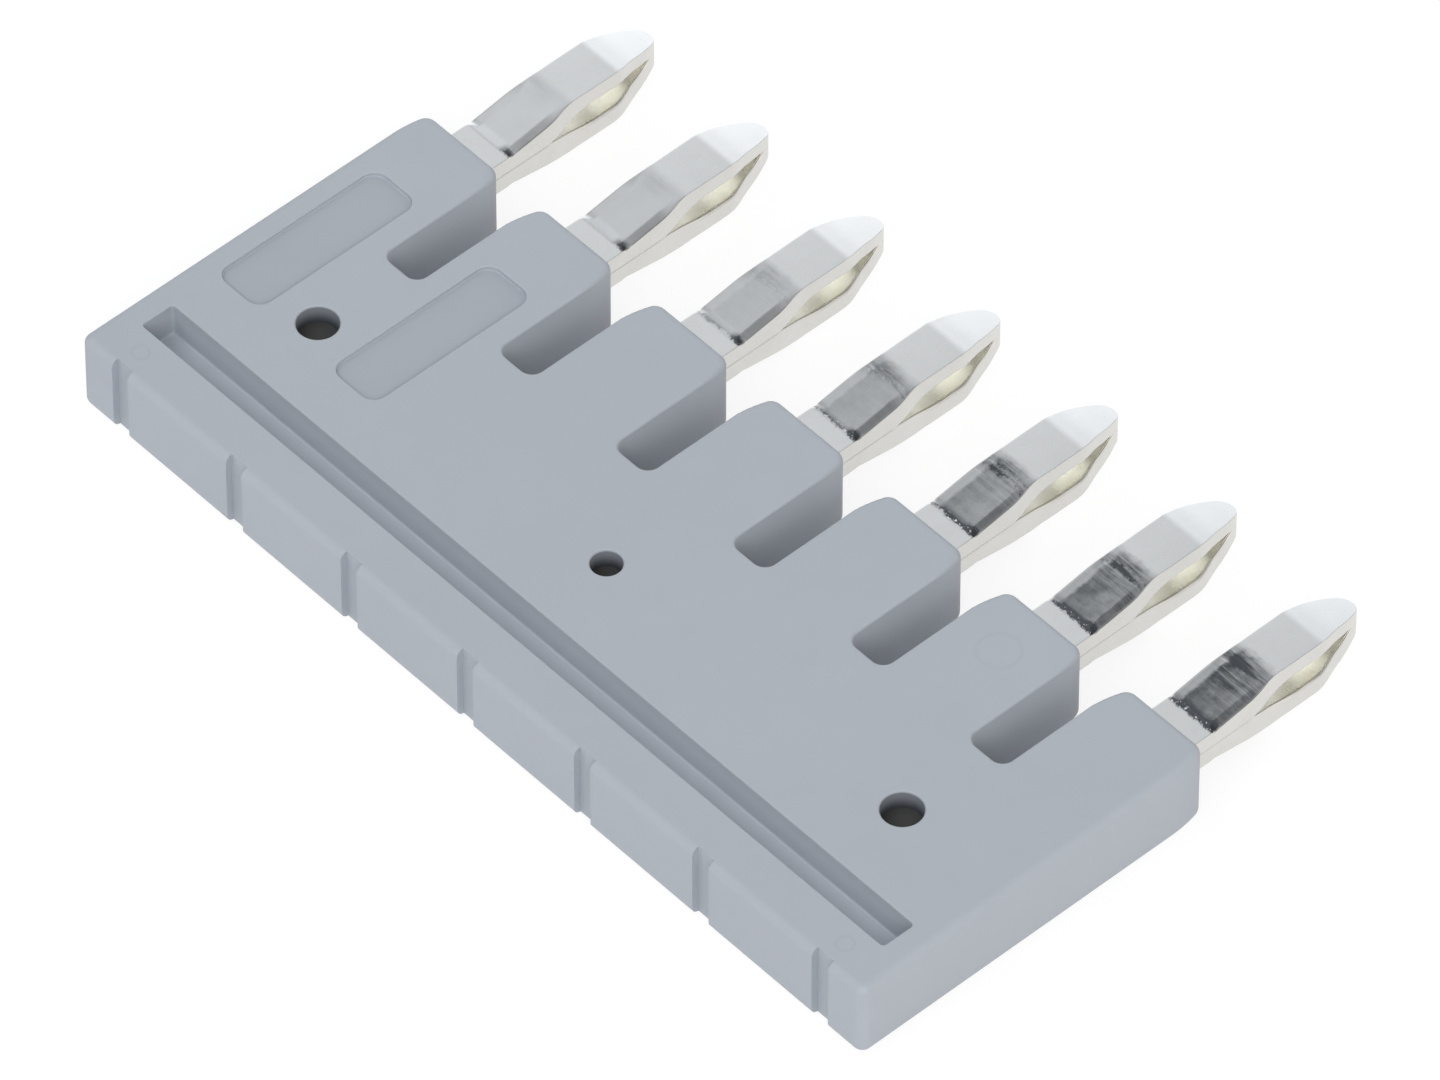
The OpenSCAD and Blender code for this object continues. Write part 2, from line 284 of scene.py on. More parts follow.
def triangles(points, loops, up):
    """Index triples that fill the area inside the first loop and outside the others, facing up or down.

    All loops turn to the left. A triangle at a loop is kept where it lies on the filled side of that loop,
    any other one where a ray from its middle crosses the loops an odd number of times.
    """
    used = np.concatenate(loops)
    flat = points[used, :2]
    count = np.array([len(loop) for loop in loops])
    first = np.repeat(np.cumsum(count) - count, count)
    k = np.arange(len(flat))
    edges = np.stack([k, first + (k - first + 1) % np.repeat(count, count)], 1)
    made = delaunay_2d_cdt([tuple(p) for p in flat.tolist()], edges.tolist(), [], 0, 1e-6, True)
    corner = np.array([ids[0] for ids in made[3]])[np.array(made[2])]
    middle = flat[corner].mean(1)[:, None]
    (ax, ay), (bx, by) = flat[edges[:, 0]].T, flat[edges[:, 1]].T
    crossed = (ay > middle[..., 1]) != (by > middle[..., 1])
    rise = np.where(ay == by, 1.0, by - ay)
    ahead = ax + (bx - ax) * (middle[..., 1] - ay) / rise > middle[..., 0]
    odd = (crossed & ahead).sum(1) % 2 == 1
    edges[count[0]:] = edges[count[0]:, ::-1]
    filled = edges @ [len(flat), 1]
    following = np.roll(corner, -1, 1)
    along = np.isin(corner * len(flat) + following, filled).any(1)
    against = np.isin(following * len(flat) + corner, filled).any(1)
    faces = used[corner[along | (odd & ~against)]]
    return faces if up else faces[:, ::-1]


def outline(s):
    """The plan of the bar as a closed path: (points, inward vectors, least inset, edge radius).

    The back face runs through notches, whose columns start no nearer to the back than the notch depth.
    Each tooth has two lead-in arcs and two nose arcs, each slot two hollow arcs. The edges along a slot are
    sharper than the others, and change along the lead-in arcs.
    """
    # Points on a lead-in arc and on any other arc
    few, many = 6, 9
    back, front = BODY_LO[1], BODY_HI[1]
    poles = pole_places(s)
    notch_x = poles[:, None] + s.notch_w / 2 * np.array([-1, -1, 1, 1])
    notch = np.stack([notch_x.ravel(), np.full(notch_x.size, back)], 1)
    notch_low = np.tile([0.0, s.notch_d, s.notch_d, 0.0], s.poles)
    lead_r = (s.lead_l ** 2 + s.lead_in ** 2) / (2 * s.lead_in)
    lead_x, lead_y = s.tooth_w / 2 - lead_r, front - s.lead_l
    nose_x = lead_x + math.sqrt((lead_r - s.nose_r) ** 2 - (s.lead_l - s.nose_r) ** 2)
    nose_y = front - s.nose_r
    touch = math.degrees(math.atan2(nose_y - lead_y, nose_x - lead_x))
    tooth, tooth_out = joined(
        arc((lead_x, lead_y), lead_r, 0, touch, few), arc((nose_x, nose_y), s.nose_r, touch, 90, many),
        arc((-nose_x, nose_y), s.nose_r, 90, 180 - touch, many),
        arc((-lead_x, lead_y), lead_r, 180 - touch, 180, few))
    slot_x, slot_y = (s.pitch - s.tooth_w) / 2 - s.slot_r, front - s.slot_l + s.slot_r
    slot, slot_in = joined(
        arc((slot_x, slot_y), s.slot_r, 0, -90, many), arc((-slot_x, slot_y), s.slot_r, -90, -180, many))
    blunt = np.linspace(s.slot_edge, s.edge_r, few)
    unit = np.concatenate([tooth, slot - [s.pitch / 2, 0]])
    unit_in = np.concatenate([-tooth_out, slot_in])
    unit_edge = np.r_[blunt, np.full(2 * many, s.edge_r), blunt[::-1], np.full(len(slot), s.slot_edge)]
    used = s.poles * len(unit) - len(slot)
    shift = np.stack([poles[::-1], np.zeros(s.poles)], 1)
    teeth = (unit[None] + shift[:, None]).reshape(-1, 2)[:used]
    teeth_in = np.tile(unit_in, (s.poles, 1))[:used]
    teeth_edge = np.tile(unit_edge, s.poles)[:used]
    teeth_edge[:few] = teeth_edge[-few:] = s.edge_r
    corner_x, corner_y = BODY_HI[0] - s.corner_r, back + s.corner_r
    left, left_out = arc((-corner_x, corner_y), s.corner_r, 180, 270, many)
    right, right_out = arc((corner_x, corner_y), s.corner_r, 270, 360, many)
    points = np.concatenate([left, notch, right, teeth])
    inward = np.concatenate([-left_out, np.tile([0.0, 1.0], (len(notch), 1)), -right_out, teeth_in])
    least = np.concatenate([np.zeros(many), notch_low, np.zeros(many + len(teeth))])
    radius = np.concatenate([np.full(2 * many + len(notch), s.edge_r), teeth_edge])
    return supported(points, inward, least, radius)


def recesses(s, round_points=48):
    """Groove, panels and pin holes of both faces: (kind, path and outward vectors, in top, profile)."""
    back, top, plane = BODY_LO[1], BODY_HI[2], COMB_LO[2]
    groove_l = BODY_HI[0] - BODY_LO[0] - 2 * s.groove_end
    groove = round_rectangle(0, back + s.groove_y, groove_l, s.groove_w, s.groove_r)
    sunk = [("groove", groove, True, sunk_profile(s.groove_t, s.groove_rim, s.groove_root))]
    for x in pole_places(s)[:s.panels]:
        panel = round_rectangle(x, back + s.panel_y, s.panel_w, s.panel_l, s.panel_r)
        sunk.append(("panel", panel, True, sunk_profile(s.panel_t, s.panel_rim, s.panel_root)))
    span = (s.poles - 2) * s.pitch / 2
    for x, d in ((-span, s.hole_d), (0.0, s.mid_hole_d), (span, s.hole_d)):
        ring = arc((x, back + s.hole_y), d / 2, 0, 360 - 360 / round_points, round_points)
        for up, room in ((True, top - plane), (False, plane)):
            sunk.append(("hole", ring, up, sunk_profile(room - s.hole_floor, s.hole_rim, s.hole_root)))
    return sunk


def housing_mesh(s):
    """Vertices and faces of the moulded bar, and how deep each vertex lies in a recess of each kind, 0 to 1.

    The skin is edge_profile carried along outline. Groove, panels and pin holes are sunk_profile carried
    along round rectangles and circles. Both faces between them are filled with triangles.
    """
    top = BODY_HI[2]
    path, inward, least, radius = outline(s)
    inset, z = edge_profile(radius, top)
    inset = np.maximum(inset, least[:, None])
    xy = path[:, None] + inward[:, None] * inset[..., None]
    verts = [np.concatenate([xy, z[..., None]], -1).reshape(-1, 3)]
    rows, columns = inset.shape
    faces = quads(rows, columns, flip=True).tolist()
    loops = {True: [np.arange(rows) * columns], False: [np.arange(rows) * columns + columns - 1]}
    start = len(verts[0])
    depth = {kind: [np.zeros(start)] for kind in ("groove", "panel", "hole")}
    for kind, (points, rays), up, shape in recesses(s):
        xy = points[:, None] + rays[:, None] * shape[None, :, :1]
        height = top - shape[:, 1] if up else shape[:, 1]
        z = np.broadcast_to(height[None, :, None], xy.shape[:2] + (1,))
        verts.append(np.concatenate([xy, z], -1).reshape(-1, 3))
        rows, columns = len(points), len(shape)
        faces += quads(rows, columns, start, not up).tolist()
        rim = start + np.arange(rows) * columns
        floor = rim + columns - 1
        loops[up].append(rim)
        faces.append((floor if up else floor[::-1]).tolist())
        for name, values in depth.items():
            values.append(np.tile(shape[:, 1] / shape[-1, 1], rows) * (name == kind))
        start += rows * columns
    verts = np.concatenate(verts)
    for up, rims in loops.items():
        faces += triangles(verts, rims, up).tolist()
    return verts, faces, {kind: np.concatenate(values) for kind, values in depth.items()}


def blended(u, knots, heights, soft):
    """A broken line through (knots, heights), averaged over a window of half width soft(u)."""
    window = np.linspace(-1, 1, 21)
    reach = np.interp(u, *soft)
    return np.interp(u[:, None] + reach[:, None] * window, knots, heights).mean(1)


def leaf_rows(s, shank):
    """Distances u from the tooth front at which a leaf has a section, closer at its bends and nose."""
    nose = PRONG_L - s.tip_r * (1 - np.sin(np.radians(np.linspace(0, 90, 15))))
    neck, crown, fall = s.neck_l, s.crown_from, s.crown_to
    spans = ((-0.2, neck - 0.15, 5), (neck - 0.09, neck + 0.65, 20), (neck + 0.75, crown - 0.3, 16),
             (crown - 0.2, crown + 0.6, 16), (crown + 0.75, fall - 0.45, 9), (fall - 0.35, fall + 0.45, 12),
             (fall + 0.55, nose[0] - 0.08, 15))
    return np.concatenate([[-shank, -0.4], *(np.linspace(*span) for span in spans), nose])


def beyond_crown(s, u):
    """The share, 0 to 1, by which the tip is slimmed, leant and lifted at u: full along most of its fall."""
    return blended(u, [s.crown_to + 0.05, s.crown_to + 0.85, PRONG_L - 0.35, PRONG_L], [0, 1, 1, 0.6],
                   ([0, s.crown_to + 0.35, PRONG_L], [0.1, 0.3, 0.2]))


def leaf_half_width(s, u, slim=0.08):
    """Half the width of a leaf at u: neck, waist, crown, two tip arcs and nose circle, slim at the tip."""
    crown, fall = s.crown_from, s.crown_to
    half = blended(
        u, [crown - s.waist_l, crown + 0.1, crown + s.waist_l, fall],
        np.array([s.neck_w, s.waist_w, s.crown_w, s.crown_w]) / 2,
        ([0, crown - 1.2, crown - 0.2, fall - 0.65, PRONG_L], [0.1, 0.4, 0.5, 0.3, 0.1]))
    run = PRONG_L - fall - s.tip_r
    side_r = ((s.crown_w / 2) ** 2 + run ** 2 - s.tip_r ** 2) / (s.crown_w - 2 * s.tip_r)
    side = s.crown_w / 2 - side_r + np.sqrt(side_r ** 2 - np.clip(u - fall, 0, side_r) ** 2)
    nose = np.sqrt(np.maximum(s.tip_r ** 2 - (u - PRONG_L + s.tip_r) ** 2, 0))
    touch = fall + run * side_r / (side_r - s.tip_r)
    half = np.where(u > touch, nose, np.where(u > fall, side, half))
    return half * (1 - slim * beyond_crown(s, u))


def leaf_heights(s, u, upper, trim=0.03):
    """Heights of a leaf's outer and inner face at u over the plane between the combs.

    The outer face follows neck, kick, ramp, crown and falling tip. The inner face follows the lens of the
    gap, lowered by trim so that its ends are clear. Beyond the crown the gap and the upper leaf lie a little
    higher.
    """
    neck, crown, fall = s.neck_l, s.crown_from, s.crown_to
    outer = blended(
        u, [neck, neck + s.kick_l, crown, fall, PRONG_L],
        [s.leaf_t, s.leaf_t + s.kick_rise, s.crown_t / 2, s.crown_t / 2, s.tip_t / 2],
        ([0, neck, neck + 0.45, crown - 1.2, crown, crown + 1.2, fall, PRONG_L - 1.15, PRONG_L],
         [0.02, 0.04, 0.08, 0.2, 0.24, 0.3, 0.13 if upper else 0.4, 0.2, 0.02]))
    shut, wide = PRONG_L - s.tip_shut, s.gap_from + s.gap_run
    inner = blended(
        u, [s.gap_from, wide, fall, shut], [0.0, s.gap_t / 2, s.gap_t / 2, 0.0],
        ([0, s.gap_from - 0.7, wide, PRONG_L - 1.15, PRONG_L], [0.02, 0.4, 0.5, 0.4, 0.1]))
    lift = s.tip_lift * np.interp(u, [fall - 0.05, fall + 0.75, PRONG_L - 0.85, shut], [0, 1, 1, 0])
    inner = np.maximum(inner - trim + (lift if upper else -lift), 0.0)
    return outer + upper * s.tip_lift * beyond_crown(s, u), inner


def leaf_grid(s, shank, upper):
    """One leaf of one prong as a grid over u, the distance from the tooth front, and a loop, its section.

    The loop runs over the inner face, a round edge, the right side, the right outer edge, the outer face and
    back over the left. An outer edge is a small round or, along the ramp, a coined slope. Beyond the crown
    the leaf leans to the left. Returns the grid in millimetres and the share of each point that faces
    outwards: 1 on the outer face, 0 on the sides, -1 inside.
    """
    u = leaf_rows(s, shank)
    half = leaf_half_width(s, u)
    outer, inner = leaf_heights(s, u, upper)
    neck, crown = s.neck_l, s.crown_from
    coin = blended(u, [neck - 0.05, neck + 0.2, crown - 0.9, crown], [0, 1, 1, 0],
                   ([0, neck + 0.35, crown - 1.2, crown + 0.1, PRONG_L], [0.02, 0.1, 0.2, 0.3, 0.1]))
    inner_r = np.interp(u, [s.gap_from + 0.6, s.gap_from + s.gap_run + 0.2, PRONG_L - 0.85, PRONG_L],
                        [s.seam_r, s.gap_r, s.gap_r, s.seam_r])
    bow = s.crown_bow * np.interp(u, [crown + 0.2, crown + 1.0, PRONG_L - 1.15, PRONG_L], [0, 1, 1, 0])
    # Near the nose an edge takes no more than a share of the half width
    left_w, right_w = (np.minimum(s.break_w + coin * (w - s.break_w), 0.4 * half)[:, None]
                       for w in (s.coin_left, s.coin_right))
    drop = np.minimum(s.break_t + coin * (s.coin_t - s.break_t), 0.5 * half + 0.01)[:, None]
    r = np.minimum(inner_r, 0.3 * half)[:, None]
    h, o, i, c = (value[:, None] for value in (half, outer, inner, coin))
    a = np.radians(np.linspace(0, 90, 6))[None]
    t = np.linspace(0, 1, 6)[None]
    # An outer edge turns from side to outer face, and a coined one counts as outer face nearly to its foot
    edge_x = (1 - c) * (1 - np.cos(a)) + c * t
    edge_z = o - drop * ((1 - c) * (1 - np.sin(a)) + c * (1 - t))
    edge_out = t ** (1 / (1 + 5 * c))
    # Shares of a face's width and of a side's height at which the loop has points
    flat = np.array([[0.02, 0.1, 0.3, 0.5, 0.7, 0.9, 0.98]])
    rise = np.array([[0.06, 0.5, 0.94]])
    side_z = i + r + (o - drop - i - r) * rise
    low_x, low_z = h - r + r * np.sin(a), i + r * (1 - np.cos(a))
    # Each part of the loop as x, z, outward share and how far it follows the bow of the crown
    loop = [((h - r) * (2 * flat - 1), i, -1.0, 0.0),
            (low_x, low_z, t - 1, 0.0),
            (h, side_z, 0.0, rise),
            (h - right_w * edge_x, edge_z, edge_out, 1.0),
            (h - right_w - (2 * h - left_w - right_w) * flat, o, 1.0, 1.0),
            ((left_w * edge_x - h)[:, ::-1], edge_z[:, ::-1], edge_out[:, ::-1], 1.0),
            (-h, side_z[:, ::-1], 0.0, rise[:, ::-1]),
            (-low_x[:, ::-1], low_z[:, ::-1], -t, 0.0)]
    shapes = [np.broadcast_shapes((len(u), 1), *(np.shape(value) for value in part)) for part in loop]
    x, z, share, follow = (
        np.concatenate([np.broadcast_to(part[k], shape) for part, shape in zip(loop, shapes)], 1)
        for k in range(4))
    z = z - bow[:, None] * follow * (x / np.maximum(h, 0.05)) ** 2
    x = x - s.tip_lean * beyond_crown(s, u)[:, None]
    return np.stack([x, np.broadcast_to(u[:, None], x.shape), z], -1), share


def comb_mesh(s, bar, upper, lap=0.3):
    """Vertices, faces and outward share of one comb: a leaf at each pole, lapping the flat bar behind it."""
    back, front = BODY_LO[1], BODY_HI[1]
    bus_from = back + bar.groove_y + bar.groove_w + s.back_wall
    bus_to = front - bar.slot_l - s.front_wall
    grid, share = leaf_grid(s, front - bus_to + lap, upper)
    rows, columns = share.shape
    poles = pole_places(bar)
    place = np.stack([poles, np.full(len(poles), front), np.zeros(len(poles))], 1)
    leaves = (grid.reshape(1, -1, 3) + place[:, None]).reshape(-1, 3)
    here = np.arange(rows - 1)[:, None] * columns + np.arange(columns)
    beside = np.roll(here, -1, 1)
    side = np.stack([here, here + columns, beside + columns, beside], -1).reshape(-1, 4)
    starts = np.arange(len(poles)) * rows * columns
    faces = (side[None] + starts[:, None, None]).reshape(-1, 4).tolist()
    faces += (np.arange(columns)[None] + starts[:, None]).tolist()
    bus_x = (BODY_HI[0] - BODY_LO[0]) / 2 - s.end_wall
    corner = np.meshgrid([-bus_x, bus_x], [bus_from, bus_to], [0.0, s.leaf_t], indexing="ij")
    box = [[0, 1, 3, 2], [4, 6, 7, 5], [0, 4, 5, 1], [2, 3, 7, 6], [0, 2, 6, 4], [1, 5, 7, 3]]
    faces += (np.array(box) + len(leaves)).tolist()
    verts = np.concatenate([leaves, np.stack(corner, -1).reshape(-1, 3)])
    shares = np.concatenate([np.tile(share.ravel(), len(poles)), np.tile([-1.0, 1.0], 4)])
    if not upper:
        verts = verts * [1, 1, -1]
        faces = [face[::-1] for face in faces]
    return verts + [0, 0, s.plane_z], faces, shares


def new_piece(name, verts, faces, sharp=None, seam=0.0002, **values):
    """A mesh object at the origin from millimetres, merged at seams and poles, with point attributes."""
    mesh = bpy.data.meshes.new(name)
    mesh.from_pydata((np.asarray(verts) * MM).tolist(), [], faces)
    for key, value in values.items():
        mesh.attributes.new(key, "FLOAT", "POINT").data.foreach_set("value", np.asarray(value, np.float32))
    mesh.validate()
    shell = bmesh.new()
    shell.from_mesh(mesh)
    bmesh.ops.remove_doubles(shell, verts=shell.verts, dist=seam * MM)
    shell.to_mesh(mesh)
    shell.free()
    mesh.polygons.foreach_set("use_smooth", np.ones(len(mesh.polygons), bool))
    if sharp:
        mesh.set_sharp_from_angle(angle=math.radians(sharp))
    mesh.update()
    piece = bpy.data.objects.new(name, mesh)
    bpy.context.scene.collection.objects.link(piece)
    return piece


# Finishes

class Wire:
    """One socket of a node tree. Arithmetic on wires adds Math nodes, and make adds any other node."""

    def __init__(self, tree, socket=None):
        self.tree = tree
        self.socket = socket

    def make(self, kind, settings=None, sockets=None, out=0):
        """Adds a node, sets its properties and sockets, and returns one output, if any, as a wire."""
        node = self.tree.nodes.new(kind)
        for key, value in (settings or {}).items():
            setattr(node, key, value)
        for key, value in (sockets or {}).items():
            if isinstance(value, Wire):
                self.tree.links.new(value.socket, node.inputs[key])
            else:
                node.inputs[key].default_value = value
        return None if out is None else Wire(self.tree, node.outputs[out])

    def math(self, operation, *values):
        """The result of a Math node on wires and numbers."""
        return self.make("ShaderNodeMath", {"operation": operation}, dict(enumerate(values)))

    def __add__(self, other):
        return self.math("ADD", self, other)

    def __sub__(self, other):
        return self.math("SUBTRACT", self, other)

    def __rsub__(self, other):
        return self.math("SUBTRACT", other, self)

    def __mul__(self, other):
        return self.math("MULTIPLY", self, other)

    def __truediv__(self, other):
        return self.math("DIVIDE", self, other)

    def __rtruediv__(self, other):
        return self.math("DIVIDE", other, self)

    def __pow__(self, other):
        return self.math("POWER", self, other)

    def __abs__(self):
        return self.math("ABSOLUTE", self)

    __radd__ = __add__
    __rmul__ = __mul__

    def least(self, other):
        """The smaller one of two values."""
        return self.math("MINIMUM", self, other)

    def most(self, other):
        """The larger one of two values."""
        return self.math("MAXIMUM", self, other)

    def rise(self, start, end):
        """0 before start, 1 after end and smooth between them; start may be the higher one."""
        return self.make("ShaderNodeMapRange", {"interpolation_type": "SMOOTHSTEP"},
                         {"Value": self, "From Min": start, "From Max": end})

    def blend(self, low, high):
        """A colour between two colours, by this factor."""
        return self.make("ShaderNodeMix", {"data_type": "RGBA", "clamp_factor": False},
                         {0: self, 6: low, 7: high}, 2)

    def attribute(self, name):
        """A value that the points of the piece carry."""
        return self.make("ShaderNodeAttribute", {"attribute_name": name}, None, "Fac")

    def parts(self):
        """The three parts of a vector in millimetres."""
        node = self.make("ShaderNodeSeparateXYZ", None, {0: self}).socket.node
        return [Wire(self.tree, socket) / MM for socket in node.outputs]

    def noise(self, scale, detail=2.0, stretch=(1, 1, 1), rough=0.5):
        """Noise over the piece, with scale in features per millimetre and a stretch for each axis."""
        where = self.make("ShaderNodeMapping", None,
                          {"Vector": self, "Scale": [scale / MM * k for k in stretch]})
        return self.make("ShaderNodeTexNoise", None,
                         {"Vector": where, "Scale": 1.0, "Detail": detail, "Roughness": rough})


def new_material(name):
    """An empty material, as its first wire and a function that ends its tree with a shader."""
    material = bpy.data.materials.new(name)
    material.use_nodes = True
    material.node_tree.nodes.clear()
    wire = Wire(material.node_tree)

    def finish(shader):
        wire.make("ShaderNodeOutputMaterial", None, {"Surface": shader}, None)
        return material

    return wire, finish


def ejector_ring(x, y, radius, width):
    """1 on a thin ring round x = y = 0, fading to 0 at the given distance from it."""
    return abs((x ** 2.0 + y ** 2.0) ** 0.5 - radius).rise(width, width / 4)


def plastic_material(c, bar):
    """Moulded grey polyamide: fine eroded skin, slow tone changes, darker panel floors and rings, painted
    shade deepening down the pin holes, and painted light that makes the groove paler below its rim.

    The rings are ejector marks: one behind each end of the groove, a larger one on the last tooth but one.
    """
    wire, finish = new_material("grey_polyamide")
    place = wire.make("ShaderNodeTexCoord", out="Object")
    x, y, z = place.parts()
    groove, panel, hole = (wire.attribute(name) for name in ("groove", "panel", "hole"))
    slow = place.noise(0.14, 2.0) - 0.5
    cloud = place.noise(0.8, 3.0) - 0.5
    grain = place.noise(9.0, 4.0, rough=0.6) - 0.5
    # The middles of the small rings and of the large one
    end_x, end_y = float(BODY_HI[0]) - 2.075, float(BODY_LO[1]) + 1.1
    tooth_x, tooth_y = float(pole_places(bar)[-2]), float(BODY_HI[1]) - 2.3
    top = float(BODY_HI[2])
    ring = ejector_ring(abs(x) - end_x, y - end_y, 0.33, 0.08)
    ring = (ring + 0.8 * ejector_ring(x - tooth_x, y - tooth_y, 0.82, 0.12)) * z.rise(top - 0.2, top - 0.05)
    tone = 0.5 + 0.5 * slow + 0.3 * cloud + 0.2 * grain
    # Painted light: below the groove's rim the plastic is made paler, brightening its walls and floor
    tone = tone - 0.35 * ring - 0.65 * panel + 0.85 * groove.rise(0.05, 0.4)
    # Painted shade: the plastic darkens down each pin hole, a little below the rim and most at the floor
    painted_hole_shade = 0.44 * hole.rise(0.01, 0.1) + 0.48 * hole.rise(0.15, 0.9)
    colour = painted_hole_shade.blend(tone.blend(c.plastic_deep, c.plastic_pale), c.hole_shade)
    rough = 0.52 + 0.16 * grain + 0.08 * cloud
    height = grain * 0.6 + place.noise(26.0, 2.0) * 0.4 - 0.8 * ring
    bump = wire.make("ShaderNodeBump", None, {"Strength": 0.16, "Distance": 0.04 * MM, "Height": height})
    return finish(wire.make("ShaderNodeBsdfPrincipled", None, {
        "Base Color": colour, "Roughness": rough, "Normal": bump, "IOR": 1.5, "Specular IOR Level": 0.35}))


def ramp_wear(place, on, s):
    """The ramps' rubbing and painted shade: where the ramps are, how dark their metal is, and their bright
    burrs.

    Scratches along X, a ragged dark start with burrs, painted shade in creases below the crown and a
    darkening that is partly rubbed metal and partly a painted dark reflection grow from the first prong to
    the last. The right edge is darker as painted shade and the left edge paler as painted light, and dark
    lines painted as the shade of folds show past the middle prong.
    Places are distances in millimetres from the neck's end, the crown's start or a prong's middle.
    """
    across, wobble, fine, wear = on.across, on.wobble, on.fine, on.wear
    start = on.u - s.neck_l + 0.3 * wobble + 0.25 * fine
    end = on.u - s.crown_from + 0.6 * wobble
    ramp = start.rise(-0.05, 0.07) * end.rise(0.4, -0.25) * on.outer
    # Painted light and shade: the coined left edge is kept paler and the coined right edge made darker, as
    # light falls on them
    left = (across + (s.neck_w / 2 - s.coin_left) + 0.3 * wobble).rise(0.1, -0.1)
    right = (across - (s.neck_w / 2 - s.coin_right) + 0.1 * wobble).rise(-0.06, 0.04)
    right = right * (on.u - s.crown_from).rise(0.4, -1.8)
    lip = start.rise(0.47, 0.05)
    corner = lip * (across + 0.3 * wobble).rise(0.45, 0.8)
    rim = abs(start - 0.1).rise(0.1, 0.03) * wear.rise(0.05, 0.3) * (0.4 + 3.5 * fine + 2.5 * wobble)
    streak = place.noise(1.0, 3.0, (0.5, 4.5, 0.5), 0.6) - 0.5
    scratch = on.scratch - 0.5
    # Painted shade: dark bands stand for the shade in creases below the crown and in two folds past the
    # middle prong; they also feed the bump
    crease = end.rise(-0.9, -0.4) * (across + 0.6 * wobble).rise(0.9, -0.3)
    crease = crease * (0.5 + fine + 2.6 * streak + 0.8 * scratch)
    bend = on.u - s.crown_from + 0.5 * wobble + 0.35 * fine + 0.12 * across ** 2.0
    fold = abs(bend + 0.45).rise(0.1, 0.02) + 0.7 * abs(bend + 0.22).rise(0.09, 0.02)
    fold = fold * (0.7 + 1.5 * wobble) * wear ** 2.0 * (1 - wear)
    glint = scratch.rise(0.07, 0.16) * end.rise(-1.2, -0.9) * end.rise(0.1, -0.2)
    glint = glint * across.rise(0.6, 0.0) * wear
    lines = ((0.5 + 0.5 * wear) * scratch + 0.9 * wear * streak) * (0.4 + 0.8 * end.rise(-2.0, -0.9))
    # Partly rubbed metal, partly a painted dark reflection: the ramp grows darker towards the last prong
    worn_and_shaded = 0.66 - 0.08 * wear + 0.5 * on.patch + 0.55 * wobble + lines - 0.16 * across
    dark = wear * worn_and_shaded * (1 - 0.6 * left) + right * (0.2 + wear * (0.5 - 0.6 * wear))
    dark = dark + lip * (0.05 + 0.55 * wear) * (1 + 2.0 * fine) + 0.8 * corner + 0.35 * rim
    dark = dark + crease * (0.1 + 0.45 * wear) + 2.8 * fold - 0.6 * glint
    burr = (fine + 0.7 * wobble).rise(0.1, 0.2) * start.rise(-0.03, 0.05) * start.rise(0.3, 0.15)
    return ramp, (dark * ramp).most(0.0).least(1.0), burr * on.outer * wear.rise(0.1, 0.5)


def metal_material(c, s, bar):
    """Tin plate on brass: satin crowns and tips, the tips paler as a painted highlight, ramps darkened
    partly by rubbing and partly as a painted dark reflection, brass in the gap with painted shade and a
    painted highlight, and bars inside made dark as painted shade at the pin holes' floors.

    u runs from the tooth front to the tip, across from edge to edge of a prong, and lane counts the prongs
    from the middle one.
    """
    wire, finish = new_material("tinned_brass")
    place = wire.make("ShaderNodeTexCoord", out="Object")
    x, y, _ = place.parts()
    share = wire.attribute("outward")
    last = (bar.poles - 1) / 2
    lane = wire.math("ROUND", x / bar.pitch + last) - last
    u = y - float(BODY_HI[1])
    wobble = place.noise(2.6, 4.0, rough=0.65) - 0.5
    patch = place.noise(1.1, 2.0)
    scratch = place.noise(1.0, 5.0, (0.4, 13.0, 0.4), 0.7)
    # The share by lane grows from the first prong to the last and scales both the rubbing and the painted
    # dark reflection of the ramps
    on = SimpleNamespace(
        u=u, across=x - lane * bar.pitch, outer=share.rise(0.3, 0.9),
        wear=lane.rise(-last - 0.1, last + 0.7), wobble=wobble,
        fine=place.noise(9.0, 3.0, rough=0.6) - 0.5, patch=patch, scratch=scratch)
    ramp, dark, burr = ramp_wear(place, on, s)
    inside = share.rise(-0.35, -0.9)
    # Metal more than 0.6 mm behind the tooth front lies in the plastic; its dark colour is painted shade at
    # the pin holes' floors
    sunk = u.rise(-0.6, -1.2)
    # Painted highlight: the brass in the gap turns from painted shade where it opens to a painted highlight
    # under the end of the crown
    pale = (u - s.crown_to + 0.4 * wobble).rise(-1.35, -0.45)
    # Painted highlight: beyond the crown the plating is made brighter; the patches are its own tone
    tin_and_tip_highlight = (patch + 0.5 * (u - s.crown_to).rise(0.15, 0.85)).blend(c.tin_dull, c.tin_bright)
    # A ramp's dark colours stand for rubbed metal and for a painted dark reflection
    face = burr.blend(dark.blend(tin_and_tip_highlight, scratch.blend(c.wear_dark, c.wear_pale)), c.burr)
    skin = share.rise(0.5, 0.1).blend(face, patch.blend(c.edge_dull, c.edge_pale))
    colour = sunk.blend(inside.blend(skin, pale.blend(c.brass_shade, c.brass_highlight)), c.bar)
    rough = 0.28 + 0.1 * (patch - 0.5) + 0.12 * ramp - 0.04 * inside * pale + 0.3 * sunk
    height = scratch * dark * 0.8 + burr * 0.6 + patch * 0.3
    bump = wire.make("ShaderNodeBump", None, {"Strength": 0.3, "Distance": 0.04 * MM, "Height": height})
    return finish(wire.make("ShaderNodeBsdfPrincipled", None, {
        "Base Color": colour, "Roughness": rough, "Metallic": 1 - 0.7 * sunk, "Normal": bump}))


